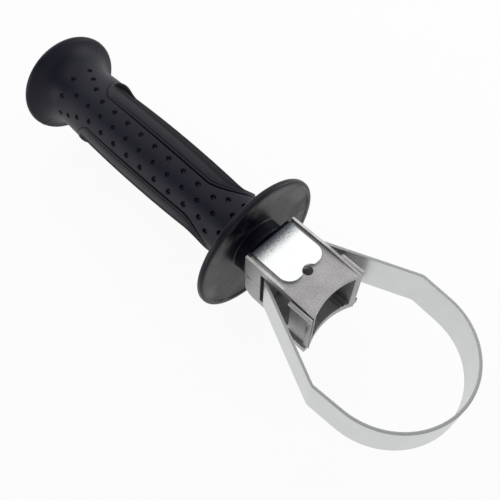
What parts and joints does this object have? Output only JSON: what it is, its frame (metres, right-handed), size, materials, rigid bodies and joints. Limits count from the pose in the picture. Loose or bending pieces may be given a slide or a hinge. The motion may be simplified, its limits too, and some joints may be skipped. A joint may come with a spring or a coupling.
{
  "type": "power tool side handle",
  "caption": "Side handle for a power tool: dimpled rubber grip with a guard disc, hollow cast clamp body and a steel strap loop that closes on the tool's collar as the grip turns.",
  "frame": {"origin": "centre of the tool's collar, half way up the strap", "axes": "+Z along the collar's axis, out of the casting's face that carries the plate; +X along the handle's axis, away from the grip"},
  "size_m": [0.2687, 0.0746, 0.074],
  "materials": {
    "hard_plastic": "satin moulded",
    "soft_rubber": "matt moulded",
    "nut_steel": "zinc plated",
    "bolt_steel": "zinc plated",
    "bright_zinc": "bright zinc plated",
    "cast_alloy": "as cast, tumbled",
    "strap_steel": "galvanised, satin"
  },
  "bodies": {
    "clamp": {"clamp_body": "cast_alloy", "thrust_plate": "bright_zinc"},
    "grip": {"grip_core": "hard_plastic", "soft_grip": "soft_rubber", "captive_nut": "nut_steel"},
    "strap": {"clamp_strap": "strap_steel", "clamp_bolt": "bolt_steel"}
  },
  "joints": [
    {"name": "grip_turn", "type": "hinge", "parent": "clamp", "child": "grip", "pos_m": [-0.0749, 0, 0], "axis": [-1, 0, 0], "range_deg": [0, 2160]},
    {"name": "strap_slide", "type": "slide", "parent": "clamp", "child": "strap", "axis": [1, 0, 0], "range_m": [0, 0.0075]}
  ],
  "couplings": [
    {"joint": "strap_slide", "follows": "grip_turn", "m_per_rad": 0.00019894}
  ]
}
